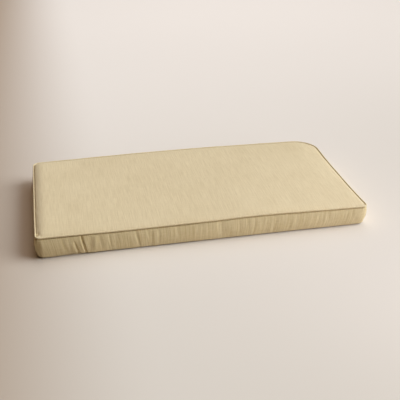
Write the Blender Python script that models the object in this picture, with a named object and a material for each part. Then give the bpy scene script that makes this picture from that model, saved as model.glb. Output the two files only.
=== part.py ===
"""Bench cushion: a long boxed seat cushion with piped edges, lying on its back.

Metres, +Z up. +X runs along the cushion, -Y is its front long side, and the
origin is the middle of the underside, on the surface that the cushion lies on.
A maker sews it from a top panel, a boxing band round the fill, a bottom panel
and a piping in each of the two seams.
"""

import math
from collections import namedtuple

import bmesh
import bpy
from mathutils import Vector

# Sizes over the two pipings, and the width of the boxing between its seams.
LENGTH = 1.168
DEPTH = 0.584
BOXING = 0.076

# Cloth-covered piping: its tube, the groove that it sits in, and its height above
# the surface that the cushion lies on.
PIPING_RADIUS = 0.0028
PIPING_BEVEL_RESOLUTION = 2
SEAT_RADIUS = PIPING_RADIUS + 0.0007
SEAT_SLANT = 0.75 * SEAT_RADIUS
PIPING_LIFT = 0.0003

# The gap between the fill and the panels.
GAP = 0.0004

PANEL_THICK = 0.002

# The fill lifts the top panel: a quick rise beside the seam, then a slow one.
EDGE_CROWN = 0.0085
EDGE_CROWN_REACH = 0.010
MIDDLE_CROWN = 0.005

# The boxing is full at half height and tucked in at both seams.
BOXING_FULLNESS = 0.0035
FULLNESS_ROUNDING = 0.8

# The bottom panel is a little smaller than the top one on each side.
UNDERCUT = {"front": 0.002, "right": 0.004, "back": 0.002, "left": 0.003}

# How far each side is drawn in between its corners. The back is pushed out.
DRAWN_IN = {"front": 0.002, "right": 0.005, "back": -0.003, "left": 0.002}
DRAWN_IN_ROUNDING = 0.6

Corner = namedtuple("Corner", "x_side y_side top_radius bottom_radius")
CORNERS = {
    "front right": Corner(1, -1, 0.016, 0.022),
    "back right": Corner(1, 1, 0.078, 0.066),
    "back left": Corner(-1, 1, 0.022, 0.026),
    "front left": Corner(-1, -1, 0.013, 0.020),
}
CORNER_STEPS = 6

# A corner further in on a panel keeps this share of its own radius, and at
# least this share of the way in, so that it grows rounder towards the middle.
LEAST_OF_RADIUS = 0.5
LEAST_OF_INSET = 0.45
MOST_OF_HALF_WIDTH = 0.8

# Height of the top seam above its even height, along the front and the back.
SeamRise = namedtuple("SeamRise", "x front back")
SEAM_RISES = (
    SeamRise(-0.584, 0.0010, 0.0005),
    SeamRise(-0.440, -0.0005, 0.0020),
    SeamRise(-0.310, -0.0022, 0.0040),
    SeamRise(-0.150, -0.0016, 0.0060),
    SeamRise(0.000, -0.0004, 0.0065),
    SeamRise(0.140, 0.0025, 0.0060),
    SeamRise(0.250, 0.0015, 0.0045),
    SeamRise(0.340, -0.0012, 0.0035),
    SeamRise(0.470, -0.0042, 0.0020),
    SeamRise(0.584, -0.0062, -0.0030),
)

# Puckers of the front boxing. Each is a soft trough, or a ridge where its depth
# is negative, from its place at the top seam to its place at the bottom seam.
# The shares say between which heights it shows, 0 at the bottom and 1 at the top.
Pucker = namedtuple("Pucker", "x_top x_bottom half_width depth from_share to_share")
PUCKERS = (
    Pucker(-0.5720, -0.5690, 0.0060, 0.0020, 0.05, 0.95),
    Pucker(-0.4700, -0.4520, 0.0050, -0.0014, 0.00, 0.60),
    Pucker(-0.4630, -0.4440, 0.0045, 0.0030, 0.00, 0.75),
    Pucker(-0.4430, -0.4310, 0.0055, -0.0016, 0.00, 0.95),
    Pucker(-0.4340, -0.4180, 0.0050, 0.0042, 0.00, 1.05),
    Pucker(-0.4060, -0.4040, 0.0090, 0.0022, 0.10, 0.90),
    Pucker(-0.3880, -0.3900, 0.0055, -0.0014, 0.05, 1.00),
    Pucker(-0.3760, -0.3650, 0.0060, 0.0014, 0.00, 1.00),
    Pucker(-0.3390, -0.3190, 0.0080, 0.0014, 0.10, 1.00),
    Pucker(-0.2550, -0.2380, 0.0055, 0.0026, 0.00, 1.00),
    Pucker(-0.1980, -0.1990, 0.0055, 0.0020, 0.00, 1.00),
    Pucker(-0.1750, -0.1730, 0.0055, 0.0013, 0.00, 1.00),
    Pucker(0.0440, 0.0470, 0.0140, 0.0012, 0.05, 1.00),
    Pucker(0.1900, 0.1940, 0.0080, 0.0012, 0.05, 1.00),
    Pucker(0.2260, 0.2310, 0.0080, 0.0010, 0.05, 1.00),
    Pucker(0.4320, 0.4400, 0.0080, 0.0012, 0.30, 1.05),
    Pucker(0.5240, 0.5300, 0.0080, 0.0012, 0.30, 1.05),
)
PUCKER_FADE_ROUNDING = 0.6

# The front boxing ends part way round its two corners, where it turns this far.
FRONT_FACING = 0.7

# Columns of faces along the front: one each step, up to this place from the left.
Run = namedtuple("Run", "up_to step")
FINE_FRONT = (
    Run(-0.480, 0.0150),
    Run(-0.312, 0.0062),
    Run(-0.266, 0.0150),
    Run(-0.162, 0.0070),
    Run(0.020, 0.0300),
    Run(0.070, 0.0120),
    Run(0.170, 0.0300),
    Run(0.245, 0.0100),
    Run(0.420, 0.0300),
    Run(LENGTH / 2, 0.0120),
)
EVEN_FRONT = (Run(LENGTH / 2, 0.0400),)
SIDE_STEP = 0.0400

# Rows of faces: up the boxing, and inwards on the panels.
BOXING_SHARES = (0.00, 0.07, 0.20, 0.36, 0.52, 0.68, 0.82, 0.93, 1.00)
CROWN_INSETS = (0.006, 0.016, 0.040, 0.100)
UNDERSIDE_INSET = 0.050

BOTTOM_SEAM_HEIGHT = PIPING_RADIUS + PIPING_LIFT
TOP_SEAM_HEIGHT = BOTTOM_SEAM_HEIGHT + BOXING
HALF_LENGTH = LENGTH / 2 - PIPING_RADIUS
HALF_DEPTH = DEPTH / 2 - PIPING_RADIUS

SHARP_ANGLE = math.radians(60)


def clear_scene():
    for obj in list(bpy.data.objects):
        bpy.data.objects.remove(obj, do_unlink=True)


def srgb_to_linear(channel):
    if channel <= 0.04045:
        return channel / 12.92
    return ((channel + 0.055) / 1.055) ** 2.4


def cloth(name, red, green, blue):
    """A matt woven cloth of this sRGB colour, 0 to 255."""
    material = bpy.data.materials.new(name)
    material.use_nodes = True
    shader = material.node_tree.nodes["Principled BSDF"]
    colour = [srgb_to_linear(channel / 255) for channel in (red, green, blue)]
    shader.inputs["Base Color"].default_value = (*colour, 1.0)
    shader.inputs["Roughness"].default_value = 0.92
    shader.inputs["Metallic"].default_value = 0.0
    return material


def smooth(share):
    return share * share * (3 - 2 * share)


def seam_rise(x, y):
    """Height of the top seam above its even height, from the front and back rows."""
    x = min(max(x, SEAM_RISES[0].x), SEAM_RISES[-1].x)
    for low, high in zip(SEAM_RISES, SEAM_RISES[1:]):
        if x <= high.x:
            break
    along = smooth((x - low.x) / (high.x - low.x))
    front = low.front + (high.front - low.front) * along
    back = low.back + (high.back - low.back) * along
    backwards = min(max(y / DEPTH + 0.5, 0.0), 1.0)
    return front + (back - front) * backwards


def crown(inset):
    """Rise of the top panel this far in from its seam."""
    edge = EDGE_CROWN * (1 - math.exp(-inset / EDGE_CROWN_REACH))
    inwards = min(inset / HALF_DEPTH, 1.0)
    return edge + MIDDLE_CROWN * (1 - (1 - inwards) ** 2)


def front_columns(runs):
    """Shares of the front's length at which its columns of faces start."""
    places = []
    at = -LENGTH / 2
    for run in runs:
        count = max(1, round((run.up_to - at) / run.step))
        places += [at + (run.up_to - at) * i / count for i in range(count)]
        at = run.up_to
    return [place / LENGTH + 0.5 for place in places]


def even_columns(length):
    count = round(length / SIDE_STEP)
    return [i / count for i in range(count)]


def corner_middle(corner, edges, radius):
    """The middle of the arc that rounds the corner between two edges."""
    x = edges["right"] - radius if corner.x_side > 0 else edges["left"] + radius
    y = edges["back"] - radius if corner.y_side > 0 else edges["front"] + radius
    return Vector((x, y))


def outline(front_runs, lowered, inset):
    """Points and outward directions round the cover, anticlockwise from the front left.

    lowered is 0 at the top seam and 1 at the bottom seam, and inset is the way in
    from the seam.
    """
    edges = {
        "front": -HALF_DEPTH + UNDERCUT["front"] * lowered + inset,
        "right": HALF_LENGTH - UNDERCUT["right"] * lowered - inset,
        "back": HALF_DEPTH - UNDERCUT["back"] * lowered - inset,
        "left": -HALF_LENGTH + UNDERCUT["left"] * lowered + inset,
    }
    radii = {}
    middles = {}
    for name, corner in CORNERS.items():
        radius = corner.top_radius + (corner.bottom_radius - corner.top_radius) * lowered
        wanted = max(radius - inset, radius * LEAST_OF_RADIUS, inset * LEAST_OF_INSET)
        radii[name] = min(wanted, (HALF_DEPTH - inset) * MOST_OF_HALF_WIDTH)
        middles[name] = corner_middle(corner, edges, radii[name])
    sides = (
        ("front", "front left", "front right", Vector((0, -1)), front_columns(front_runs)),
        ("right", "front right", "back right", Vector((1, 0)), even_columns(DEPTH)),
        ("back", "back right", "back left", Vector((0, 1)), even_columns(LENGTH)),
        ("left", "back left", "front left", Vector((-1, 0)), even_columns(DEPTH)),
    )
    points = []
    for side, first, last, outward, columns in sides:
        start = middles[first] + outward * radii[first]
        end = middles[last] + outward * radii[last]
        most = DRAWN_IN[side] * (1 - inset / HALF_DEPTH)
        for share in columns:
            drawn_in = most * math.sin(math.pi * share) ** DRAWN_IN_ROUNDING
            points.append((start.lerp(end, share) - outward * drawn_in, outward))
        first_angle = math.atan2(outward.y, outward.x)
        for step in range(CORNER_STEPS):
            angle = first_angle + math.pi / 2 * step / CORNER_STEPS
            direction = Vector((math.cos(angle), math.sin(angle)))
            points.append((middles[last] + direction * radii[last], direction))
    return points


def pucker_depth(x, height_share):
    """How far the front boxing is pressed in here."""
    depth = 0.0
    for pucker in PUCKERS:
        span = pucker.to_share - pucker.from_share
        inside = (height_share - pucker.from_share) / span
        if inside <= 0 or inside >= 1:
            continue
        middle = pucker.x_bottom + (pucker.x_top - pucker.x_bottom) * height_share
        across = (x - middle) / pucker.half_width
        fade = math.sin(math.pi * inside) ** PUCKER_FADE_ROUNDING
        depth += pucker.depth * fade * math.exp(-across * across)
    return depth


def boxing_ring(share):
    """The boxing this share of the way up from the bottom seam to the top seam."""
    ring = []
    fullness = BOXING_FULLNESS * math.sin(math.pi * share) ** FULLNESS_ROUNDING
    for point, outward in outline(FINE_FRONT, 1 - share, 0.0):
        low = BOTTOM_SEAM_HEIGHT + SEAT_RADIUS
        high = TOP_SEAM_HEIGHT + seam_rise(point.x, point.y) - SEAT_RADIUS
        pressed_in = pucker_depth(point.x, share) if -outward.y > FRONT_FACING else 0.0
        spot = point + outward * (fullness - pressed_in)
        ring.append(Vector((spot.x, spot.y, low + (high - low) * share)))
    return ring


def seat_ring(lowered, upward):
    """The middle of the slanting side of the groove that a piping sits in."""
    ring = []
    for point, outward in outline(FINE_FRONT, lowered, 0.0):
        middle = BOTTOM_SEAM_HEIGHT
        if not lowered:
            middle = TOP_SEAM_HEIGHT + seam_rise(point.x, point.y)
        spot = point - outward * SEAT_SLANT
        ring.append(Vector((spot.x, spot.y, middle + upward)))
    return ring


def crown_ring(runs, inset, raised):
    """A ring on the crown, inset from the piping's groove and raised above the fill."""
    ring = []
    for point, outward in outline(runs, 0.0, inset):
        spot = point - outward * SEAT_RADIUS
        seam = TOP_SEAM_HEIGHT + seam_rise(spot.x, spot.y)
        ring.append(Vector((spot.x, spot.y, seam + crown(inset) + raised)))
    return ring


def underside_ring(runs, inset, height):
    """A level ring below the fill, inset from the bottom piping's groove."""
    ring = []
    for point, outward in outline(runs, 1.0, inset):
        spot = point - outward * SEAT_RADIUS
        ring.append(Vector((spot.x, spot.y, height)))
    return ring


def extrude_ring(shape, edges, vertices, places):
    """Extrudes a ring of edges and puts its new points at these places, in order."""
    extruded = bmesh.ops.extrude_edge_only(shape, edges=edges)["geom"]
    fresh = {item for item in extruded if isinstance(item, bmesh.types.BMVert)}
    new_vertices = []
    for vertex, place in zip(vertices, places):
        neighbours = [edge.other_vert(vertex) for edge in vertex.link_edges]
        new = next(neighbour for neighbour in neighbours if neighbour in fresh)
        new.co = place
        new_vertices.append(new)
    new_edges = [
        item
        for item in extruded
        if isinstance(item, bmesh.types.BMEdge) and fresh.issuperset(item.verts)
    ]
    return new_edges, new_vertices


def loft(name, rings, material):
    """A closed solid through these rings, with its first and last ring filled."""
    shape = bmesh.new()
    circle = bmesh.ops.create_circle(shape, segments=len(rings[0]), radius=LENGTH)
    vertices = circle["verts"]
    for vertex, place in zip(vertices, rings[0]):
        vertex.co = place
    first_edges = list(shape.edges)
    edges = first_edges
    for ring in rings[1:]:
        edges, vertices = extrude_ring(shape, edges, vertices, ring)
    bmesh.ops.contextual_create(shape, geom=first_edges)
    bmesh.ops.contextual_create(shape, geom=edges)
    bmesh.ops.triangulate(shape, faces=list(shape.faces))
    bmesh.ops.recalc_face_normals(shape, faces=list(shape.faces))
    mesh = bpy.data.meshes.new(name)
    shape.to_mesh(mesh)
    shape.free()
    mesh.shade_smooth()
    mesh.set_sharp_from_angle(angle=SHARP_ANGLE)
    return add_object(name, mesh, material)


def add_object(name, data, material):
    data.materials.append(material)
    obj = bpy.data.objects.new(name, data)
    bpy.context.scene.collection.objects.link(obj)
    return obj


def filled_boxing(material):
    """The fill, with the boxing band as its sides and its crown under the top panel."""
    under = PANEL_THICK + GAP
    rings = [
        underside_ring(FINE_FRONT, UNDERSIDE_INSET, under),
        underside_ring(FINE_FRONT, 0.0, under),
        seat_ring(1.0, SEAT_SLANT),
    ]
    rings += [boxing_ring(share) for share in BOXING_SHARES]
    rings += [seat_ring(0.0, -SEAT_SLANT), crown_ring(FINE_FRONT, 0.0, 0.0)]
    rings += [crown_ring(FINE_FRONT, inset, 0.0) for inset in CROWN_INSETS]
    return loft("filled_boxing", rings, material)


def top_panel(material):
    """The crowned top panel, from the middle of its wrong side round its rim."""
    insets = (0.0,) + CROWN_INSETS
    rings = [crown_ring(EVEN_FRONT, inset, GAP) for inset in reversed(insets)]
    rings += [crown_ring(EVEN_FRONT, inset, GAP + PANEL_THICK) for inset in insets]
    return loft("top_panel", rings, material)


def bottom_panel(material):
    """The bottom panel, flat on the surface that the cushion lies on."""
    rings = [
        underside_ring(EVEN_FRONT, UNDERSIDE_INSET, 0.0),
        underside_ring(EVEN_FRONT, 0.0, 0.0),
        underside_ring(EVEN_FRONT, 0.0, PANEL_THICK),
        underside_ring(EVEN_FRONT, UNDERSIDE_INSET, PANEL_THICK),
    ]
    return loft("bottom_panel", rings, material)


def piping(name, lowered, material):
    """A cord in its cloth cover that follows one seam all the way round."""
    curve = bpy.data.curves.new(name, "CURVE")
    curve.dimensions = "3D"
    curve.twist_mode = "Z_UP"
    curve.bevel_depth = PIPING_RADIUS
    curve.bevel_resolution = PIPING_BEVEL_RESOLUTION
    route = outline(EVEN_FRONT, lowered, 0.0)
    spline = curve.splines.new("POLY")
    spline.points.add(len(route) - 1)
    for spot, (point, _) in zip(spline.points, route):
        height = BOTTOM_SEAM_HEIGHT
        if not lowered:
            height = TOP_SEAM_HEIGHT + seam_rise(point.x, point.y)
        spot.co = (point.x, point.y, height, 1.0)
    spline.use_cyclic_u = True
    return add_object(name, curve, material)


def main():
    clear_scene()
    filled_boxing(cloth("boxing cloth", 187, 168, 128))
    top_panel(cloth("top panel cloth", 214, 198, 164))
    bottom_panel(cloth("bottom panel cloth", 176, 157, 118))
    piping("top_piping", 0.0, cloth("top piping cloth", 208, 191, 153))
    piping("bottom_piping", 1.0, cloth("bottom piping cloth", 160, 141, 102))


main()
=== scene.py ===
"""Looks of a bench cushion: a long boxed cushion in slubbed canvas with piped seams.

Metres, +Z up. +X runs along the cushion and -Y is its front long side. It lies on
its back on a plain floor, and the camera sees it from the front left.
"""

import math
import random
from collections import namedtuple

import bmesh
import bpy
from mathutils import Matrix, Vector, noise


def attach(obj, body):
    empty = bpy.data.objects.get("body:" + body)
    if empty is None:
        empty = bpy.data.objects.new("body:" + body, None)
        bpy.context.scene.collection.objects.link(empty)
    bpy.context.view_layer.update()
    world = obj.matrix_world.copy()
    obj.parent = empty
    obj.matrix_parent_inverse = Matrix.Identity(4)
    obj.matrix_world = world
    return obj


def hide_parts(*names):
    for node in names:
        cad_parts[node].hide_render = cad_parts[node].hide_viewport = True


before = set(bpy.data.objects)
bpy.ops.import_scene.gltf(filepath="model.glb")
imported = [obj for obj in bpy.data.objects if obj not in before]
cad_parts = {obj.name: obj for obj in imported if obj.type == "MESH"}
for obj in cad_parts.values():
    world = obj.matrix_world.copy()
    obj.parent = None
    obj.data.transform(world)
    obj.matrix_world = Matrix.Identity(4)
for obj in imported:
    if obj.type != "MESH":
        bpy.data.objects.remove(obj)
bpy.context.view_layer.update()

# ---------------------------------------------------------------------------
# Sizes of the cushion. Its length, depth and boxing, its corners, the height of its
# seams and its piping are those of the frame's solids. The rest differs from them by
# a few millimetres: the crown, how the sides swell or are drawn in, and the rolled
# bottom edge.
# ---------------------------------------------------------------------------

# Over the two pipings, and the width of the boxing between its seams.
LENGTH = 1.168
DEPTH = 0.584
BOXING = 0.076

# The covered cord, and its height above the floor.
PIPING_RADIUS = 0.0028
PIPING_LIFT = 0.0003

PANEL_THICK = 0.0016

# The crown: a rise beside the seam, then a slow one to the middle. The cloth rounds
# the seam a little softer than the solid does.
EDGE_CROWN = 0.0095
EDGE_CROWN_REACH = 0.016
MIDDLE_CROWN = 0.006

# At the left end the fill also lifts the top panel close behind the piping, and the
# lift dies out over its decay. The rise beside the seam starts late there: the later,
# the further its delay is above 1.
LEFT_LIFT = 0.0054
LEFT_LIFT_REACH = 0.0015
LEFT_LIFT_DECAY = 0.060
LEFT_CROWN_REACH = 0.0165
LEFT_CROWN_DELAY = 1.5

# At the right end this share of the rise is close to the seam, and the rest is slow.
RIGHT_QUICK_SHARE = 0.40
RIGHT_QUICK_REACH = 0.0060
RIGHT_SLOW_REACH = 0.1200

# Small hollows of the top panel along its left end, deepest at the front corner.
Hollow = namedtuple("Hollow", "x y half_width half_length depth")
HOLLOWS = (
    Hollow(-0.5735, -0.2690, 0.0050, 0.0110, 0.0045),
    Hollow(-0.5640, -0.2790, 0.0040, 0.0050, 0.0022),
    Hollow(-0.5740, -0.2300, 0.0035, 0.0120, 0.0016),
    Hollow(-0.5745, -0.1650, 0.0035, 0.0140, 0.0012),
    Hollow(-0.5735, -0.1000, 0.0035, 0.0120, 0.0010),
)

# The fill presses the boxing out: a shoulder close to both seams, a slow round, and a
# sag that is deepest low down, the lower the smaller its exponent is.
SHOULDER = 0.0032
SHOULDER_EXPONENT = 0.30
BOXING_ROUND = 0.0050
SAG = 0.0026
SAG_EXPONENT = 0.43

# The stitches pull the boxing in under the top piping: how far, and between which
# distances below the seam it comes out again.
TOP_TUCK = 0.0066
TOP_TUCK_FROM = 0.0020
TOP_TUCK_TO = 0.0058

# The cushion's weight rolls the boxing out over the bottom piping. Each step gives the
# distance up the boxing, the share of the way out and the height there. That height
# wanders by the lift, over waves of about this length. The bottom seam is rolled
# further under than the one of the solids.
Roll = namedtuple("Roll", "up out height")
ROLL = (
    Roll(0.0000, 0.00, 0.0060),
    Roll(0.0016, 0.20, 0.0060),
    Roll(0.0032, 0.40, 0.0056),
    Roll(0.0048, 0.60, 0.0050),
    Roll(0.0058, 0.72, 0.0048),
    Roll(0.0070, 0.83, 0.0050),
    Roll(0.0086, 0.92, 0.0062),
    Roll(0.0108, 0.97, 0.0088),
    Roll(0.0136, 1.00, 0.0122),
)
ROLL_LIFT = 0.0018
ROLL_WAVE = 0.016
ROLLED_UNDER = 0.0045

# The front is rolled all along, but less at a place near its left end, and the other
# sides are rolled by about half.
UNROLLED_AT = -0.478
UNROLLED_HALF_WIDTH = 0.034
UNROLLED_SHARE = 0.7
OTHER_ROLL = 0.5

# A place of the top seam is on the front where it lies further forward than this.
FRONT_LINE = -0.45 * DEPTH

# How far the bottom seam lies inside the top one, and how far each side is drawn in
# between its corners. The back and, a little, the left side swell.
UNDERCUT = {"front": 0.002, "right": 0.004, "back": 0.002, "left": 0.003}
DRAWN_IN = {"front": 0.002, "right": 0.005, "back": -0.003, "left": -0.0008}
DRAWN_IN_EXPONENT = 2.8

# Which way each corner points, and its radius at the two seams. A ring further in has
# at least the least radius, and at least this share of its distance in.
Corner = namedtuple("Corner", "x_side y_side top_radius bottom_radius")
CORNERS = {
    "front right": Corner(1, -1, 0.016, 0.022),
    "back right": Corner(1, 1, 0.078, 0.066),
    "back left": Corner(-1, 1, 0.022, 0.026),
    "front left": Corner(-1, -1, 0.013, 0.020),
}
LEAST_RADIUS = 0.006
LEAST_OF_INSET = 0.45

# Height of the top seam above its even height, along the front and the back.
SeamRise = namedtuple("SeamRise", "x front back")
SEAM_RISES = (
    SeamRise(-0.584, 0.0010, 0.0005),
    SeamRise(-0.440, -0.0005, 0.0020),
    SeamRise(-0.310, -0.0022, 0.0040),
    SeamRise(-0.150, -0.0016, 0.0060),
    SeamRise(0.000, -0.0004, 0.0065),
    SeamRise(0.140, 0.0025, 0.0060),
    SeamRise(0.250, 0.0015, 0.0045),
    SeamRise(0.340, -0.0012, 0.0035),
    SeamRise(0.470, -0.0042, 0.0020),
    SeamRise(0.584, -0.0062, -0.0030),
)

BOTTOM_SEAM_HEIGHT = PIPING_RADIUS + PIPING_LIFT
TOP_SEAM_HEIGHT = BOTTOM_SEAM_HEIGHT + BOXING
HALF_LENGTH = LENGTH / 2 - PIPING_RADIUS
HALF_DEPTH = DEPTH / 2 - PIPING_RADIUS

# The stitches hold the panels and the boxing against the inner half of the piping.
# The gap keeps the pieces from cutting through each other.
SEAT_GAP = 0.0001
SEAT_RADIUS = PIPING_RADIUS + SEAT_GAP

# ---------------------------------------------------------------------------
# Puckers of the boxing
# ---------------------------------------------------------------------------

# A soft trough, or a ridge where its depth is negative, from its place at the top
# seam to its place at the bottom seam. The shares say between which heights it
# shows, 0 at the bottom and 1 at the top.
Pucker = namedtuple("Pucker", "x_top x_bottom half_width depth from_share to_share")
FRONT_PUCKERS = (
    Pucker(-0.5720, -0.5690, 0.0045, 0.0028, 0.00, 1.00),
    Pucker(-0.4720, -0.4530, 0.0036, -0.0014, 0.00, 0.62),
    Pucker(-0.4630, -0.4440, 0.0030, 0.0044, -0.05, 0.75),
    Pucker(-0.4420, -0.4270, 0.0040, -0.0014, -0.05, 0.90),
    Pucker(-0.4350, -0.4190, 0.0030, 0.0100, -0.10, 1.08),
    Pucker(-0.4060, -0.4040, 0.0090, 0.0022, 0.10, 0.90),
    Pucker(-0.3880, -0.3900, 0.0055, -0.0014, 0.05, 1.00),
    Pucker(-0.3760, -0.3650, 0.0060, 0.0014, 0.00, 1.00),
    Pucker(-0.3390, -0.3190, 0.0080, 0.0006, 0.10, 1.00),
    Pucker(-0.2550, -0.2380, 0.0036, 0.0024, 0.00, 1.05),
    Pucker(-0.1980, -0.1990, 0.0038, 0.0018, 0.00, 1.05),
    Pucker(-0.1750, -0.1730, 0.0038, 0.0013, 0.00, 1.05),
    Pucker(0.0440, 0.0470, 0.0140, 0.0016, 0.05, 1.00),
    Pucker(0.1900, 0.1940, 0.0080, 0.0012, 0.05, 1.00),
    Pucker(0.2260, 0.2310, 0.0080, 0.0010, 0.05, 1.00),
    Pucker(0.4320, 0.4400, 0.0080, 0.0012, 0.30, 1.05),
    Pucker(0.5240, 0.5300, 0.0080, 0.0012, 0.30, 1.05),
)
PUCKER_FADE_EXPONENT = 0.6

# The front boxing ends part way round its two corners, where it turns this far.
FRONT_FACING = 0.7

# Small puckers of the whole boxing, where its cloth was eased into the two seams. Each
# rises from the bottom seam, hangs from the top one or crosses the whole boxing, and
# is felt this many half widths away.
EasePucker = namedtuple("EasePucker", "along lean half_width depth from_share to_share")
EASE_SEED = 11
EASE_SPACING = (0.006, 0.022)
EASE_LEAN = 0.006
EASE_HALF_WIDTH = (0.0026, 0.0052)
EASE_DEPTH = (-0.0007, 0.0013)
EASE_SPANS = ((-0.3, 0.6), (0.3, 1.3), (-0.2, 1.2))
EASE_REACH = 2.5

# ---------------------------------------------------------------------------
# Sizes of the faces
# ---------------------------------------------------------------------------

# Columns of the front, finest where it puckers most, of the other sides, and of the
# corners' arcs.
Run = namedtuple("Run", "up_to step")
FRONT_RUNS = (
    Run(-0.480, 0.0040),
    Run(-0.350, 0.0022),
    Run(-0.150, 0.0030),
    Run(LENGTH / 2, 0.0038),
)
SIDE_STEP = 0.0058
ARC_STEP = 0.0035
LEAST_ARC_STEPS = 8

# Rows of the boxing: how far from a seam the close ones are, the step between the
# others, those against each piping, and those of the hidden fill.
SEAM_ROWS = (0.0, 0.0008, 0.0016, 0.0024, 0.0032, 0.0040, 0.0048, 0.0058, 0.0070, 0.0086, 0.0108, 0.0136)
ROW_STEP = 0.0035
GROOVE_ROWS = 4
CAP_INSETS = (0.006, 0.020, 0.060, 0.150)

UV_NAME = "cloth"

# A line of the noise between its whole numbers, on which it would be 0.
NOISE_LINE = 0.5


def smooth(share):
    """The share with a soft start and a soft end."""
    return share * share * (3 - 2 * share)


def lerp(start, end, share):
    """The value this share of the way from the start to the end."""
    return start + (end - start) * share


def clamp(value):
    return min(max(value, 0.0), 1.0)


# ---------------------------------------------------------------------------
# The outline that the seams follow
# ---------------------------------------------------------------------------


def seam_rise(x, y):
    """Height of the top seam above its even height, from the front and back rows."""
    x = min(max(x, SEAM_RISES[0].x), SEAM_RISES[-1].x)
    for low, high in zip(SEAM_RISES, SEAM_RISES[1:]):
        if x <= high.x:
            break
    along = smooth((x - low.x) / (high.x - low.x))
    front = lerp(low.front, high.front, along)
    back = lerp(low.back, high.back, along)
    return lerp(front, back, clamp(y / DEPTH + 0.5))


def drawn_in(side, share):
    """How far a side is drawn in, this share of the way along it."""
    return DRAWN_IN[side] * (1 - abs(2 * share - 1) ** DRAWN_IN_EXPONENT)


def even_shares(length, step):
    """Shares of a length at which its even steps start."""
    count = round(length / step)
    return [i / count for i in range(count)]


def front_shares():
    """Shares of the front's length at which its columns of faces start."""
    places = []
    at = -LENGTH / 2
    for run in FRONT_RUNS:
        places += [at + share * (run.up_to - at) for share in even_shares(run.up_to - at, run.step)]
        at = run.up_to
    return [place / LENGTH + 0.5 for place in places]


SIDES = (
    ("front", "front left", "front right", Vector((0, -1)), front_shares()),
    ("right", "front right", "back right", Vector((1, 0)), even_shares(DEPTH, SIDE_STEP)),
    ("back", "back right", "back left", Vector((0, 1)), even_shares(LENGTH, SIDE_STEP)),
    ("left", "back left", "front left", Vector((-1, 0)), even_shares(DEPTH, SIDE_STEP)),
)


def side_edges(lowered, inset=0.0):
    """Where the four straight edges lie. lowered is 0 at the top seam and 1 at the bottom."""
    under = {side: (cut + ROLLED_UNDER) * lowered for side, cut in UNDERCUT.items()}
    return {
        "front": -HALF_DEPTH + under["front"] + inset,
        "right": HALF_LENGTH - under["right"] - inset,
        "back": HALF_DEPTH - under["back"] - inset,
        "left": -HALF_LENGTH + under["left"] + inset,
    }


def corner_radius(name, lowered):
    """How round a corner is at the top seam, the bottom seam or between them."""
    corner = CORNERS[name]
    return lerp(corner.top_radius, corner.bottom_radius, lowered)


def corner_middle(name, edges, radius):
    """The middle of the arc that rounds the corner between two edges."""
    corner = CORNERS[name]
    x = edges["right"] - radius if corner.x_side > 0 else edges["left"] + radius
    y = edges["back"] - radius if corner.y_side > 0 else edges["front"] + radius
    return Vector((x, y))


def outline(lowered, inset=0.0):
    """Points and outward directions round the cover, anticlockwise from the front left."""
    edges = side_edges(lowered, inset)
    least = max(LEAST_OF_INSET * inset, LEAST_RADIUS)
    radii = {name: max(corner_radius(name, lowered) - inset, least) for name in CORNERS}
    middles = {name: corner_middle(name, edges, radii[name]) for name in CORNERS}
    points = []
    for side, first, last, outward, shares in SIDES:
        start = middles[first] + outward * radii[first]
        end = middles[last] + outward * radii[last]
        held = 1 - inset / HALF_DEPTH
        for share in shares:
            spot = start.lerp(end, share) - outward * drawn_in(side, share) * held
            points.append((spot, outward))
        steps = max(LEAST_ARC_STEPS, round(CORNERS[last].top_radius * math.pi / 2 / ARC_STEP))
        first_angle = math.atan2(outward.y, outward.x)
        for step in range(steps):
            angle = first_angle + math.pi / 2 * step / steps
            direction = Vector((math.cos(angle), math.sin(angle)))
            points.append((middles[last] + direction * radii[last], direction))
    return points


TOP_SEAM = outline(0.0)
BOTTOM_SEAM = outline(1.0)


def lengths_along(points):
    """How far round the cover each point lies, and last the whole way round."""
    along = [0.0]
    for (here, _), (there, _) in zip(points, points[1:] + points[:1]):
        along.append(along[-1] + (there - here).length)
    return along


SEAM_ALONG = lengths_along(TOP_SEAM)

# ---------------------------------------------------------------------------
# Mesh tools
# ---------------------------------------------------------------------------

HELD = "held"
LOOSE = "loose"
SETTLING_FRAMES = 20


def grid_cloth(name, columns, rows, place, flat_place, ease=None):
    """A grid of this many faces each way, wrapped or bent to its place.

    place and flat_place give a point of the grid its place, and its place in the flat
    cloth, from its column and row. ease gives how firmly it is held while the cloth
    settles, and how much loose cloth there is.
    """
    shape = bmesh.new()
    uv = shape.loops.layers.uv.new(UV_NAME)
    weights = shape.verts.layers.deform.verify()
    bmesh.ops.create_grid(shape, x_segments=columns, y_segments=rows, size=1, calc_uvs=True)
    spots = {}
    for vertex in shape.verts:
        column = round((vertex.co.x + 1) / 2 * columns)
        row = round((vertex.co.y + 1) / 2 * rows)
        spots[vertex] = (column, row)
        vertex.co = place(column, row)
        if ease:
            vertex[weights][0], vertex[weights][1] = ease(column, row)
    for face in shape.faces:
        for loop in face.loops:
            loop[uv].uv = flat_place(*spots[loop.vert])
    bmesh.ops.remove_doubles(shape, verts=list(shape.verts), dist=1e-6)
    bmesh.ops.recalc_face_normals(shape, faces=list(shape.faces))
    mesh = bpy.data.meshes.new(name)
    shape.to_mesh(mesh)
    shape.free()
    mesh.shade_smooth()
    piece = bpy.data.objects.new(name, mesh)
    bpy.context.scene.collection.objects.link(piece)
    if ease:
        piece.vertex_groups.new(name=HELD)
        piece.vertex_groups.new(name=LOOSE)
    return piece


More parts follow.
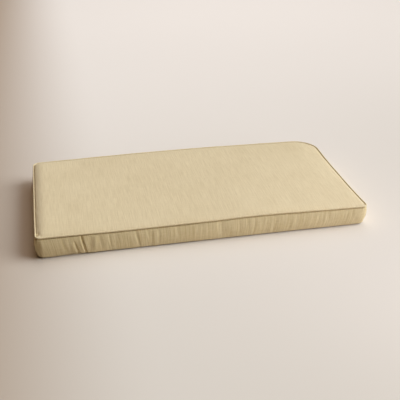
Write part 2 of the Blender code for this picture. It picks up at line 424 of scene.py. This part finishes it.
def close_ends(piece):
    """Closes the open ends of a tube-like piece."""
    shape = bmesh.new()
    shape.from_mesh(piece.data)
    rims = [edge for edge in shape.edges if edge.is_boundary]
    bmesh.ops.edgeloop_fill(shape, edges=rims)
    bmesh.ops.recalc_face_normals(shape, faces=list(shape.faces))
    shape.to_mesh(piece.data)
    shape.free()
    piece.data.shade_smooth()


def settle(piece, pressure, growth, bending, cap):
    """Lets the cloth of a piece swell over its fill and find its small folds between its seams.

    Loose cloth is this much longer each way than the space that it has. No point
    moves further than the cap.
    """
    cloth = piece.modifiers.new("settling", "CLOTH")
    cloth.settings.quality = 4
    cloth.settings.mass = 0.15
    cloth.settings.tension_stiffness = 20
    cloth.settings.compression_stiffness = 20
    cloth.settings.shear_stiffness = 8
    cloth.settings.bending_stiffness = bending
    cloth.settings.vertex_group_mass = HELD
    cloth.settings.vertex_group_shrink = LOOSE
    cloth.settings.shrink_min = 0.0
    cloth.settings.shrink_max = -growth
    cloth.settings.use_pressure = True
    cloth.settings.uniform_pressure_force = pressure
    cloth.settings.effector_weights.gravity = 0
    cloth.point_cache.frame_start = 1
    cloth.point_cache.frame_end = SETTLING_FRAMES
    for number in range(1, SETTLING_FRAMES + 1):
        bpy.context.scene.frame_set(number)
    settled = piece.evaluated_get(bpy.context.evaluated_depsgraph_get()).data
    places = [vertex.co.copy() for vertex in settled.vertices]
    piece.modifiers.remove(cloth)
    bpy.context.scene.frame_set(1)
    for vertex, place in zip(piece.data.vertices, places):
        move = place - vertex.co
        if move.length > cap:
            move *= cap / move.length
        vertex.co += move
    piece.vertex_groups.clear()


def subdivided(piece):
    """Gives the piece four smooth faces for each of its own."""
    finer = piece.modifiers.new("finer", "SUBSURF")
    finer.levels = 1
    finer.render_levels = 1


# ---------------------------------------------------------------------------
# The boxing and the fill
# ---------------------------------------------------------------------------


def pucker_depth(x, height_share):
    """How far the large puckers press the front boxing in here."""
    depth = 0.0
    for pucker in FRONT_PUCKERS:
        span = pucker.to_share - pucker.from_share
        inside = (height_share - pucker.from_share) / span
        if inside <= 0 or inside >= 1:
            continue
        middle = lerp(pucker.x_bottom, pucker.x_top, height_share)
        across = (x - middle) / pucker.half_width
        fade = math.sin(math.pi * inside) ** PUCKER_FADE_EXPONENT
        depth += pucker.depth * fade * math.exp(-across * across)
    return depth


def ease_puckers():
    """Small troughs and ridges all round the boxing."""
    draw = random.Random(EASE_SEED)
    puckers = []
    along = 0.0
    while along < SEAM_ALONG[-1]:
        along += draw.uniform(*EASE_SPACING)
        from_share, to_share = draw.choice(EASE_SPANS)
        lean = draw.uniform(-EASE_LEAN, EASE_LEAN)
        half_width = draw.uniform(*EASE_HALF_WIDTH)
        depth = draw.uniform(*EASE_DEPTH)
        puckers.append(EasePucker(along, lean, half_width, depth, from_share, to_share))
    return puckers


def puckers_near(puckers, along):
    """The small puckers that are felt this far round the cover."""
    whole = SEAM_ALONG[-1]
    near = []
    for pucker in puckers:
        away = abs(pucker.along - along)
        if min(away, whole - away) < EASE_LEAN + EASE_REACH * pucker.half_width:
            near.append(pucker)
    return near


def ease_depth(near, along, height_share):
    """How far the small puckers press the boxing in here."""
    depth = 0.0
    for pucker in near:
        inside = (height_share - pucker.from_share) / (pucker.to_share - pucker.from_share)
        if inside <= 0 or inside >= 1:
            continue
        across = (along - pucker.along - pucker.lean * (height_share - 0.5)) / pucker.half_width
        depth += pucker.depth * math.sin(math.pi * inside) * math.exp(-across * across)
    return depth


def full(share):
    """How far the fill presses the boxing out, this share of the way up it."""
    shoulder = SHOULDER * math.sin(math.pi * share) ** SHOULDER_EXPONENT
    sag = SAG * math.sin(math.pi * share**SAG_EXPONENT)
    return shoulder + sag + BOXING_ROUND * math.sin(math.pi * share)


def tucked_in(share):
    """How far the stitches pull the boxing in under the top piping, this share of the way up it."""
    below = (1 - share) * BOXING
    out_again = clamp((below - TOP_TUCK_FROM) / (TOP_TUCK_TO - TOP_TUCK_FROM))
    return TOP_TUCK * (1 - smooth(out_again))


def roll_strength(place):
    """How far the boxing is rolled under at this place of its top seam, from 0 to 1."""
    if place.y > FRONT_LINE:
        return OTHER_ROLL
    across = (place.x - UNROLLED_AT) / UNROLLED_HALF_WIDTH
    return 1 - UNROLLED_SHARE * math.exp(-across * across)


def roll_at(share, along):
    """Share of the way out and height of the rolled boxing, this share of the way up it."""
    up = share * BOXING
    for low, high in zip(ROLL, ROLL[1:]):
        if up <= high.up:
            break
    between = clamp((up - low.up) / (high.up - low.up))
    unevenness = noise.noise(Vector((along / ROLL_WAVE, 0, 0)))
    lift = ROLL_LIFT * unevenness * math.sin(math.pi * up / ROLL[-1].up)
    return lerp(low.out, high.out, between), lerp(low.height, high.height, between) + lift


def seam_height(lowered, x, y):
    """Height of the middle of the bottom or the top piping."""
    if lowered:
        return BOTTOM_SEAM_HEIGHT
    return TOP_SEAM_HEIGHT + seam_rise(x, y)


EASE_PUCKERS = ease_puckers()
EASE_NEAR = [puckers_near(EASE_PUCKERS, along) for along in SEAM_ALONG]


def boxing_ring(share):
    """The boxing this share of the way up from the bottom seam to the top seam."""
    up = share * BOXING
    rolled_part = ROLL[-1].up
    rolled_share = rolled_part / BOXING
    ring = []
    for column, ((top, outward), (bottom, _)) in enumerate(zip(TOP_SEAM, BOTTOM_SEAM)):
        along = SEAM_ALONG[column]
        strength = roll_strength(top)
        point = bottom.lerp(top, share)
        low = BOTTOM_SEAM_HEIGHT + SEAT_RADIUS
        high = seam_height(0, point.x, point.y) - SEAT_RADIUS
        out = full(share)
        if up < rolled_part:
            out_share, rolled_height = roll_at(share, along)
            end = bottom.lerp(top, rolled_share)
            rolled_out = ((end - point).dot(outward) + full(rolled_share)) * out_share
            out = lerp(out, rolled_out, strength)
            height = lerp(lerp(low, high, share), rolled_height, strength)
        else:
            rest = (up - rolled_part) / (BOXING - rolled_part)
            start = lerp(lerp(low, high, rolled_share), ROLL[-1].height, strength)
            height = lerp(start, high, rest)
        out -= tucked_in(share) + ease_depth(EASE_NEAR[column], along, share)
        if -outward.y > FRONT_FACING:
            out -= pucker_depth(point.x, share)
        spot = point + outward * out
        ring.append(Vector((spot.x, spot.y, height)))
    return ring


def groove_ring(lowered, turn):
    """The cloth against a piping, turned from below the top one or above the bottom one inwards."""
    side = 1 if lowered else -1
    ring = []
    for point, outward in BOTTOM_SEAM if lowered else TOP_SEAM:
        spot = point - outward * SEAT_RADIUS * math.sin(turn)
        height = seam_height(lowered, point.x, point.y) + side * SEAT_RADIUS * math.cos(turn)
        ring.append(Vector((spot.x, spot.y, height)))
    return ring


def rise_from(inset):
    """How much of the crown's rise beside a seam is reached this far in."""
    return 1 - math.exp(-inset / EDGE_CROWN_REACH)


def slow_rise_from(inset):
    """How much of the crown's slow rise to the middle is reached this far in."""
    return 1 - (1 - min(inset / HALF_DEPTH, 1.0)) ** 2


# The hidden fill stays this far below the top panel, and above the bottom one.
TOP_CLEARANCE = 0.0055
BOTTOM_CLEARANCE = 0.0008


def cap_ring(lowered, inset):
    """The fill under the top panel, or on the bottom panel, this far in from the groove."""
    ring = []
    crown = EDGE_CROWN * rise_from(inset) + MIDDLE_CROWN * slow_rise_from(inset)
    for point, outward in outline(lowered, inset):
        spot = point - outward * SEAT_RADIUS
        height = PANEL_THICK + BOTTOM_CLEARANCE
        if not lowered:
            height = seam_height(0, spot.x, spot.y) + max(crown - TOP_CLEARANCE, 0.0)
        ring.append(Vector((spot.x, spot.y, height)))
    return ring


# How the boxing settles: it is held near its seams, free from a little further, and
# loosest where most of the cloth was eased in, towards the left end of the front.
HELD_TO = 0.0070
FREE_FROM = 0.0160
BOXING_PRESSURE = 2.5
BOXING_GROWTH = 0.050
BOXING_BENDING = 0.02
BOXING_CAP = 0.0030
Looseness = namedtuple("Looseness", "x share")
FRONT_LOOSENESS = (
    Looseness(-0.584, 0.30),
    Looseness(-0.490, 0.50),
    Looseness(-0.430, 1.00),
    Looseness(-0.330, 0.90),
    Looseness(-0.250, 0.60),
    Looseness(-0.130, 0.75),
    Looseness(0.050, 0.45),
    Looseness(0.584, 0.35),
)
OTHER_LOOSENESS = 0.45


def looseness(place):
    """How loose the boxing is at this place of its top seam, 1 where it is loosest."""
    if place.y > FRONT_LINE:
        return OTHER_LOOSENESS
    for low, high in zip(FRONT_LOOSENESS, FRONT_LOOSENESS[1:]):
        if place.x <= high.x:
            break
    return lerp(low.share, high.share, smooth(clamp((place.x - low.x) / (high.x - low.x))))


def row_shares():
    """Shares of the way up the boxing at which its rows of faces start."""
    near = [distance / BOXING for distance in SEAM_ROWS]
    count = round((1 - 2 * near[-1]) * BOXING / ROW_STEP)
    middle = [lerp(near[-1], 1 - near[-1], i / count) for i in range(1, count)]
    return near + middle + [1 - share for share in reversed(near)]


def boxing_and_fill():
    """The filled boxing as one closed solid, from the bottom panel round to the top one."""
    turns = [math.pi / 2 * i / GROOVE_ROWS for i in range(1, GROOVE_ROWS + 1)]
    shares = row_shares()
    rings = [cap_ring(1, inset) for inset in reversed(CAP_INSETS)]
    rings += [groove_ring(1, turn) for turn in reversed(turns)]
    first = len(rings)
    rings += [boxing_ring(share) for share in shares]
    rings += [groove_ring(0, turn) for turn in turns]
    rings += [cap_ring(0, inset) for inset in CAP_INSETS]

    def height(row):
        share = shares[min(max(row - first, 0), len(shares) - 1)]
        return share * BOXING

    def place(column, row):
        return rings[row][column % len(TOP_SEAM)]

    def flat_place(column, row):
        return SEAM_ALONG[column], height(row)

    def ease(column, row):
        from_seam = min(height(row), BOXING - height(row))
        held = 1 - smooth(clamp((from_seam - HELD_TO) / (FREE_FROM - HELD_TO)))
        return held, looseness(TOP_SEAM[column % len(TOP_SEAM)][0])

    piece = grid_cloth("boxing_and_fill", len(TOP_SEAM), len(rings) - 1, place, flat_place, ease)
    settle(piece, BOXING_PRESSURE, BOXING_GROWTH, BOXING_BENDING, BOXING_CAP)
    close_ends(piece)
    return piece


# ---------------------------------------------------------------------------
# Panels
# ---------------------------------------------------------------------------

# How far from a seam the close rows and columns are, and the step between the others.
RIM_INSETS = (0.0, 0.0009, 0.0020, 0.0033, 0.0050, 0.0072, 0.0100, 0.0135, 0.0180, 0.0235, 0.0300)
PANEL_STEP = 0.0085


def graded(low, high):
    """Places from one edge of a panel to the other, close together beside both seams."""
    first = low + RIM_INSETS[-1]
    last = high - RIM_INSETS[-1]
    count = round((last - first) / PANEL_STEP)
    middle = [lerp(first, last, i / count) for i in range(1, count)]
    near = [low + inset for inset in RIM_INSETS]
    far = [high - inset for inset in reversed(RIM_INSETS)]
    return near + middle + far


def round_corner(x, y, edges, lowered):
    """Moves a point of a square-cornered panel to its place in the round-cornered one."""
    for name, corner in CORNERS.items():
        radius = corner_radius(name, lowered) - SEAT_RADIUS
        middle = corner_middle(name, edges, radius)
        right = (x - middle.x) * corner.x_side
        away = (y - middle.y) * corner.y_side
        if right <= 0 or away <= 0:
            continue
        reach = max(right, away)
        if right >= away:
            angle = math.pi / 4 * away / right
        else:
            angle = math.pi / 2 - math.pi / 4 * right / away
        return (
            middle.x + corner.x_side * reach * math.cos(angle),
            middle.y + corner.y_side * reach * math.sin(angle),
        )
    return x, y


def panel_spot(x, y, edges, lowered):
    """A panel's point with the corners rounded and the sides drawn in."""
    round_x, round_y = round_corner(x, y, edges, lowered)
    along_x = clamp((x - edges["left"]) / (edges["right"] - edges["left"]))
    along_y = clamp((y - edges["front"]) / (edges["back"] - edges["front"]))
    front = drawn_in("front", along_x) * (1 - along_y)
    back = drawn_in("back", along_x) * along_y
    left = drawn_in("left", along_y) * (1 - along_x)
    right = drawn_in("right", along_y) * along_x
    return round_x + left - right, round_y + front - back


def left_rise_from(inset):
    """The rise beside the seam at the left end, which starts late."""
    return 1 - math.exp(-((inset / LEFT_CROWN_REACH) ** LEFT_CROWN_DELAY))


def right_rise_from(inset):
    """The rise beside the seam at the right end, most of which is slow."""
    quick = 1 - math.exp(-inset / RIGHT_QUICK_REACH)
    slow = 1 - math.exp(-inset / RIGHT_SLOW_REACH)
    return lerp(slow, quick, RIGHT_QUICK_SHARE)


# Ripples that the stitches leave in the top panel: how deep, how far apart, from how
# far in, and how far they reach.
RIPPLE = 0.0007
RIPPLE_WAVE = 0.013
RIPPLE_FROM = RIM_INSETS[3]
RIPPLE_REACH = 0.011


def ripple(across, upwards, x, y):
    """Ripples of the top panel, which run away from each seam and die out from it."""
    end_wave = noise.noise(Vector((NOISE_LINE, y / RIPPLE_WAVE, 0)))
    side_wave = noise.noise(Vector((x / RIPPLE_WAVE, NOISE_LINE, 0)))
    from_ends = math.exp(-across / RIPPLE_REACH) * end_wave
    from_long_sides = math.exp(-upwards / RIPPLE_REACH) * side_wave
    held = smooth(clamp(min(across, upwards) / RIPPLE_FROM))
    return RIPPLE * held * (from_ends + from_long_sides)


def hollow(x, y):
    """How far the top panel sinks in here."""
    depth = 0.0
    for place in HOLLOWS:
        across = (x - place.x) / place.half_width
        along = (y - place.y) / place.half_length
        depth += place.depth * math.exp(-across * across - along * along)
    return depth


def panel_crown(x, y, edges):
    """Rise of the top panel over its seam, softer at the corners."""
    from_left = max(x - edges["left"], 0.0)
    from_right = edges["right"] - x
    across = min(from_left, from_right)
    upwards = min(y - edges["front"], edges["back"] - y)
    if from_left < from_right:
        across_rise = left_rise_from(from_left)
    else:
        across_rise = right_rise_from(from_right)
    edge = EDGE_CROWN * across_rise * rise_from(upwards)
    middle = MIDDLE_CROWN * slow_rise_from(across) * slow_rise_from(upwards)
    lift = LEFT_LIFT * (1 - math.exp(-from_left / LEFT_LIFT_REACH)) * math.exp(-from_left / LEFT_LIFT_DECAY)
    lift *= rise_from(upwards)
    return edge + middle + lift - hollow(x, y) + ripple(across, upwards, x, y)


# How the top panel settles: it is held at its rim and where it lies on the fill, and
# free in a band beside the seams.
PANEL_HELD_TO = 0.0025
PANEL_FREE = (0.008, 0.024)
PANEL_HELD_FROM = 0.055
PANEL_PRESSURE = 0.4
PANEL_GROWTH = 0.030
PANEL_BENDING = 0.05
PANEL_CAP = 0.0012


def panel_ease(inset):
    """How firmly the panel is held this far in from its rim, and how loose its cloth is there."""
    from_rim = smooth(clamp((inset - PANEL_HELD_TO) / (PANEL_FREE[0] - PANEL_HELD_TO)))
    to_middle = smooth(clamp((inset - PANEL_FREE[1]) / (PANEL_HELD_FROM - PANEL_FREE[1])))
    free = from_rim * (1 - to_middle)
    return 1 - free, free


def panel(name, lowered, height, settling=False):
    """A panel of cloth, its outer side up, at the height that is given for each point."""
    edges = side_edges(lowered, SEAT_RADIUS)
    across = graded(edges["left"], edges["right"])
    upwards = graded(edges["front"], edges["back"])

    def place(column, row):
        x, y = panel_spot(across[column], upwards[row], edges, lowered)
        return Vector((x, y, height(across[column], upwards[row], x, y, edges)))

    def flat_place(column, row):
        return panel_spot(across[column], upwards[row], edges, lowered)

    def ease(column, row):
        from_ends = min(across[column] - across[0], across[-1] - across[column])
        from_long_sides = min(upwards[row] - upwards[0], upwards[-1] - upwards[row])
        return panel_ease(min(from_ends, from_long_sides))

    columns = len(across) - 1
    rows = len(upwards) - 1
    if settling:
        piece = grid_cloth(name, columns, rows, place, flat_place, ease)
        settle(piece, PANEL_PRESSURE, PANEL_GROWTH, PANEL_BENDING, PANEL_CAP)
    else:
        piece = grid_cloth(name, columns, rows, place, flat_place)
    thick = piece.modifiers.new("cloth thickness", "SOLIDIFY")
    thick.thickness = PANEL_THICK
    thick.offset = -1
    thick.use_even_offset = True
    return piece


def top_height(x, y, place_x, place_y, edges):
    """The top panel's height, from its square-cornered place and its own place."""
    return seam_height(0, place_x, place_y) + panel_crown(x, y, edges)


def bottom_height(x, y, place_x, place_y, edges):
    """The bottom panel lies flat on the floor."""
    return 0.0


def face_down(piece):
    """Turns the outer side of a panel down, so that its thickness is added above."""
    piece.data.flip_normals()


# ---------------------------------------------------------------------------
# Piping
# ---------------------------------------------------------------------------

PIPING_SIDES = 16
PIPING_STEP = 0.0022

# Its radius wanders by this share, over waves of about this length.
PIPING_UNEVENNESS = 0.10
PIPING_WAVE = 0.009


def even_route(points):
    """Places and directions round a seam, one each piping step."""
    along = lengths_along(points)
    count = round(along[-1] / PIPING_STEP)
    route = []
    start = 0
    for i in range(count):
        wanted = along[-1] * i / count
        while along[start + 1] < wanted:
            start += 1
        share = (wanted - along[start]) / (along[start + 1] - along[start])
        here, here_out = points[start]
        there, there_out = points[(start + 1) % len(points)]
        route.append((here.lerp(there, share), here_out.lerp(there_out, share).normalized()))
    return route


def piping(name, lowered):
    """The covered cord of one seam, a closed ring all round the cushion."""
    route = even_route(BOTTOM_SEAM if lowered else TOP_SEAM)
    step = lengths_along(route)[-1] / len(route)
    girth = 2 * math.pi * PIPING_RADIUS

    def place(column, row):
        point, outward = route[column % len(route)]
        angle = 2 * math.pi * (row % PIPING_SIDES) / PIPING_SIDES
        knobbly = noise.noise(Vector((point.x, point.y, lowered)) / PIPING_WAVE)
        radius = PIPING_RADIUS * (1 + PIPING_UNEVENNESS * knobbly)
        spot = point + outward * radius * math.cos(angle)
        height = seam_height(lowered, point.x, point.y) + radius * math.sin(angle)
        return Vector((spot.x, spot.y, height))

    def flat_place(column, row):
        return column * step, row / PIPING_SIDES * girth

    return grid_cloth(name, len(route), PIPING_SIDES, place, flat_place)


# ---------------------------------------------------------------------------
# Materials
# ---------------------------------------------------------------------------


def linear(hex_colour):
    """An sRGB hex colour as the linear colour that a shader takes."""
    channels = []
    for i in (0, 2, 4):
        channel = int(hex_colour[i : i + 2], 16) / 255
        channels.append(channel / 12.92 if channel <= 0.04045 else ((channel + 0.055) / 1.055) ** 2.4)
    return (*channels, 1.0)


def add_node(tree, kind, inputs=None, **settings):
    """Adds a node. Each input takes a value, or is linked from the output given for it."""
    node = tree.nodes.new(kind)
    for name, value in settings.items():
        setattr(node, name, value)
    for name, value in (inputs or {}).items():
        if isinstance(value, bpy.types.NodeSocket):
            tree.links.new(value, node.inputs[name])
        else:
            node.inputs[name].default_value = value
    return node


# Yarn spacing of the real canvas is about 1 mm. Its weave is drawn at twice that,
# the finest that still shows in a near view.
YARN = 0.0020
WEAVE_RELIEF = 0.00025

# Slubs are thick places in the yarns that run front to back, or up the boxing. Real
# ones are about 1.5 mm wide, and are drawn at two to three times that to show. Finer
# ones lie between them and across them, and clouds are the slow changes of tone.
SLUB_WIDTH = 0.0034
SLUB_LENGTH = 0.085
FINE_SLUB_WIDTH = 0.0018
FINE_SLUB_LENGTH = 0.030
CROSS_SLUB_WIDTH = 0.0022
CROSS_SLUB_LENGTH = 0.035
CLOUD_SIZE = 0.16

# The share of each in the tone, and the tones of the deepest and the palest yarns.
SLUB_SHARE = 0.42
FINE_SLUB_SHARE = 0.22
CROSS_SLUB_SHARE = 0.16
CLOUD_SHARE = 0.20
DEEPEST_TONE = 0.36
PALEST_TONE = 0.64

# How far the slubs stand up. Those of the boxing show more, as the light grazes them.
FLAT_RELIEF = 0.00006
UPRIGHT_RELIEF = 0.00018

# The palest and the deepest yarns of the straw canvas. The boxing's copy is darker, and its deep yarns
# darkest: painted shade on its upright face, with painted light and shade of the slubs where the light
# grazes them. The copy on the bias strip of the piping is a little paler: a painted highlight.
FLAT_PALE = "E4D3AE"
FLAT_DEEP = "D6C39C"
# Painted shade of the boxing's upright face.
BOXING_SHADE_PALE = "E3D0A5"
BOXING_SHADE_DEEP = "CEB98A"
# Painted highlight of the piping.
PIPING_HIGHLIGHT_PALE = "E4D4AE"
PIPING_HIGHLIGHT_DEEP = "D8C59D"


def slub_canvas(name, pale, deep, relief, turned=0.0):
    """Plain-woven slub canvas of spun acrylic: matt, with faint uneven stripes of yarn.

    relief is how far the slubs stand up. turned is how far the weave is turned on the
    piece: 45 degrees where it is cut on the bias.
    """
    material = bpy.data.materials.new(name)
    material.use_nodes = True
    tree = material.node_tree
    shader = tree.nodes["Principled BSDF"]

    flat = add_node(tree, "ShaderNodeUVMap", uv_map=UV_NAME).outputs["UV"]
    flat = add_node(
        tree, "ShaderNodeMapping", {"Vector": flat, "Rotation": (0, 0, turned)}
    ).outputs["Vector"]

    def stripes(width, length):
        scaled = add_node(
            tree, "ShaderNodeMapping", {"Vector": flat, "Scale": (1 / width, 1 / length, 1)}
        )
        pattern = add_node(
            tree,
            "ShaderNodeTexNoise",
            {"Vector": scaled.outputs["Vector"], "Scale": 1.0, "Detail": 1.0, "Roughness": 0.55},
            noise_dimensions="2D",
        )
        return pattern.outputs["Fac"]

    def maths(operation, first, second):
        return add_node(tree, "ShaderNodeMath", {0: first, 1: second}, operation=operation).outputs[0]

    slubs = stripes(SLUB_WIDTH, SLUB_LENGTH)
    fine = stripes(FINE_SLUB_WIDTH, FINE_SLUB_LENGTH)
    cross = stripes(CROSS_SLUB_LENGTH, CROSS_SLUB_WIDTH)
    place = add_node(tree, "ShaderNodeTexCoord").outputs["Object"]
    cloud = add_node(
        tree, "ShaderNodeTexNoise", {"Vector": place, "Scale": 1 / CLOUD_SIZE, "Detail": 2.0}
    ).outputs["Fac"]

    tone = maths("MULTIPLY", slubs, SLUB_SHARE)
    for pattern, weight in ((fine, FINE_SLUB_SHARE), (cross, CROSS_SLUB_SHARE), (cloud, CLOUD_SHARE)):
        tone = maths("ADD", tone, maths("MULTIPLY", pattern, weight))
    share = add_node(
        tree, "ShaderNodeMapRange", {"Value": tone, "From Min": DEEPEST_TONE, "From Max": PALEST_TONE}
    ).outputs["Result"]
    colour = add_node(
        tree, "ShaderNodeMix", {"Factor": share, "A": linear(deep), "B": linear(pale)}, data_type="RGBA"
    )
    tree.links.new(colour.outputs["Result"], shader.inputs["Base Color"])

    parts = add_node(tree, "ShaderNodeSeparateXYZ", {"Vector": flat})
    across = maths("SINE", maths("MULTIPLY", parts.outputs["X"], math.pi / YARN), 0.0)
    upwards = maths("SINE", maths("MULTIPLY", parts.outputs["Y"], math.pi / YARN), 0.0)
    weave = maths("MULTIPLY", across, upwards)
    woven = add_node(
        tree, "ShaderNodeBump", {"Height": weave, "Strength": 1.0, "Distance": WEAVE_RELIEF / 2}
    ).outputs["Normal"]
    raised = add_node(
        tree,
        "ShaderNodeBump",
        {"Height": slubs, "Strength": 1.0, "Distance": relief * 2, "Normal": woven},
    ).outputs["Normal"]
    tree.links.new(raised, shader.inputs["Normal"])

    shader.inputs["Roughness"].default_value = 0.94
    shader.inputs["Specular IOR Level"].default_value = 0.25
    shader.inputs["Sheen Weight"].default_value = 0.10
    shader.inputs["Sheen Roughness"].default_value = 0.45
    return material


# Between which places the paper turns from its front to its back colour, and from its dark left to those.
# The paler back is painted light, and the dark left is painted shade where the light falls off past the
# cushion's left end.
PAPER_FRONT_TO_BACK = (-1.2, 1.6)
PAPER_LEFT_TO_REST = (-1.00, -0.25)
PAPER_FRONT = "E0D8CD"
PAPER_LIT_BACK = "F0E8DF"
PAPER_SHADED_LEFT = "A8927B"


def studio_paper():
    """Matt studio paper, darker past the cushion's left end and paler towards the back: painted shade and
    painted light.
    """
    material = bpy.data.materials.new("studio paper, painted shade and light")
    material.use_nodes = True
    tree = material.node_tree
    shader = tree.nodes["Principled BSDF"]
    place = add_node(tree, "ShaderNodeTexCoord").outputs["Object"]
    parts = add_node(tree, "ShaderNodeSeparateXYZ", {"Vector": place})

    def ramp(value, places, from_colour, to_colour):
        share = add_node(
            tree,
            "ShaderNodeMapRange",
            {"Value": value, "From Min": places[0], "From Max": places[1]},
            interpolation_type="SMOOTHSTEP",
        ).outputs["Result"]
        return add_node(
            tree, "ShaderNodeMix", {"Factor": share, "A": from_colour, "B": to_colour}, data_type="RGBA"
        ).outputs["Result"]

    # Painted light: the paper turns paler towards the back. Painted shade: it turns darker past the
    # cushion's left end.
    backwards = ramp(parts.outputs["Y"], PAPER_FRONT_TO_BACK, linear(PAPER_FRONT), linear(PAPER_LIT_BACK))
    colour = ramp(parts.outputs["X"], PAPER_LEFT_TO_REST, linear(PAPER_SHADED_LEFT), backwards)
    tree.links.new(colour, shader.inputs["Base Color"])
    shader.inputs["Roughness"].default_value = 0.95
    shader.inputs["Specular IOR Level"].default_value = 0.2
    return material


# ---------------------------------------------------------------------------
# Stage, lights and camera
# ---------------------------------------------------------------------------

FLOOR_HALF_SIZE = 12
SUN_WIDTH = 45

# The camera's place and turn, at which the cushion's corners and seams lie as in the
# photo. The angles are in degrees: round from the front, down, and about its own axis.
CAMERA_PLACE = (-0.4826, -2.2990, 1.2803)
CAMERA_AZIMUTH = -12.608
CAMERA_DOWN = 28.46
CAMERA_ROLL = 0.518
CAMERA_LENS = 63
SENSOR_WIDTH = 36


def floor():
    """A plain floor, far larger than the view."""
    shape = bmesh.new()
    bmesh.ops.create_grid(shape, x_segments=8, y_segments=8, size=FLOOR_HALF_SIZE)
    mesh = bpy.data.meshes.new("floor")
    shape.to_mesh(mesh)
    shape.free()
    mesh.materials.append(studio_paper())
    plane = bpy.data.objects.new("floor", mesh)
    bpy.context.scene.collection.objects.link(plane)


def area_light(name, place, target, size, power, colour, spread=180):
    """A soft box. spread is the width of its beam in degrees, narrower where it has a grid."""
    data = bpy.data.lights.new(name, "AREA")
    data.shape = "RECTANGLE"
    data.size, data.size_y = size
    data.energy = power
    data.color = colour
    data.spread = math.radians(spread)
    light = bpy.data.objects.new(name, data)
    light.location = place
    light.rotation_euler = (Vector(target) - Vector(place)).to_track_quat("-Z", "Y").to_euler()
    bpy.context.scene.collection.objects.link(light)


def soft_sun(name, azimuth, elevation, strength, colour):
    """A very large soft light far away. Azimuth 0 is the cushion's right and 90 its back."""
    data = bpy.data.lights.new(name, "SUN")
    data.angle = math.radians(SUN_WIDTH)
    data.energy = strength
    data.color = colour
    light = bpy.data.objects.new(name, data)
    round_from_right = Matrix.Rotation(math.radians(azimuth), 3, "Z")
    up = Matrix.Rotation(-math.radians(elevation), 3, "Y")
    towards = round_from_right @ up @ Vector((1, 0, 0))
    light.rotation_euler = towards.to_track_quat("Z", "Y").to_euler()
    bpy.context.scene.collection.objects.link(light)


def lights():
    """A large key from the right, softer fills round it, and a light on the floor far behind."""
    world = bpy.data.worlds.new("studio")
    world.use_nodes = True
    tree = world.node_tree
    surroundings = tree.nodes["Background"]
    surroundings.inputs["Color"].default_value = (1.0, 0.75, 0.45, 1.0)
    surroundings.inputs["Strength"].default_value = 0.03
    backdrop = add_node(tree, "ShaderNodeBackground", {"Color": linear("EBE1D7")})
    seen = add_node(tree, "ShaderNodeLightPath").outputs["Is Camera Ray"]
    mixed = add_node(
        tree,
        "ShaderNodeMixShader",
        {0: seen, 1: surroundings.outputs["Background"], 2: backdrop.outputs["Background"]},
    )
    tree.links.new(mixed.outputs["Shader"], tree.nodes["World Output"].inputs["Surface"])
    bpy.context.scene.world = world
    soft_sun("key", -9, 38, 3.10, (0.84, 0.925, 1.0))
    soft_sun("back fill", 60, 55, 0.84, (0.94, 0.95, 1.0))
    soft_sun("overhead", 0, 90, 0.45, (1.0, 0.62, 0.28))
    area_light(
        "front right fill", (1.4, -1.5, 0.5), (0.2, -0.2, 0), (0.8, 0.6), 1.75, (0.90, 0.88, 1.0), spread=70
    )
    area_light("backdrop light", (0.9, 3.0, 2.0), (0.9, 3.0, 0), (3.0, 1.6), 7.0, (0.95, 0.90, 1.0))


def camera():
    """The photo's view: 63 mm lens, from the front left, looking down at 28 degrees."""
    data = bpy.data.cameras.new("camera")
    data.sensor_width = SENSOR_WIDTH
    data.lens = CAMERA_LENS
    eye = bpy.data.objects.new("camera", data)
    turn = (
        Matrix.Rotation(math.radians(CAMERA_AZIMUTH), 4, "Z")
        @ Matrix.Rotation(math.radians(90 - CAMERA_DOWN), 4, "X")
        @ Matrix.Rotation(math.radians(CAMERA_ROLL), 4, "Z")
    )
    eye.matrix_world = Matrix.Translation(CAMERA_PLACE) @ turn
    bpy.context.scene.collection.objects.link(eye)
    bpy.context.scene.camera = eye


def dress(piece, node, material):
    """Puts a finished piece in the place of its solid."""
    piece.data.materials.append(material)
    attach(piece, "root")
    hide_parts(node)


bpy.context.scene.view_settings.view_transform = "Standard"
camera()
lights()
floor()

boxing = boxing_and_fill()

top = panel("top_panel_cloth", 0, top_height, settling=True)
subdivided(top)
bottom = panel("bottom_panel_cloth", 1, bottom_height)
face_down(bottom)
top_piping_cloth = piping("top_piping_cloth", 0)
bottom_piping_cloth = piping("bottom_piping_cloth", 1)

canvas = slub_canvas("slub canvas", FLAT_PALE, FLAT_DEEP, FLAT_RELIEF)
# The boxing's copy of the canvas is darker: painted shade.
boxing_canvas_painted_shade = slub_canvas("boxing canvas, painted shade", BOXING_SHADE_PALE, BOXING_SHADE_DEEP, UPRIGHT_RELIEF)
# The piping's copy of the canvas is a little paler: a painted highlight.
piping_canvas_painted_highlight = slub_canvas("piping canvas, painted highlight", PIPING_HIGHLIGHT_PALE, PIPING_HIGHLIGHT_DEEP, FLAT_RELIEF, turned=math.pi / 4)
dress(boxing, "filled_boxing", boxing_canvas_painted_shade)
dress(top, "top_panel", canvas)
dress(bottom, "bottom_panel", canvas)
dress(top_piping_cloth, "top_piping", piping_canvas_painted_highlight)
dress(bottom_piping_cloth, "bottom_piping", piping_canvas_painted_highlight)
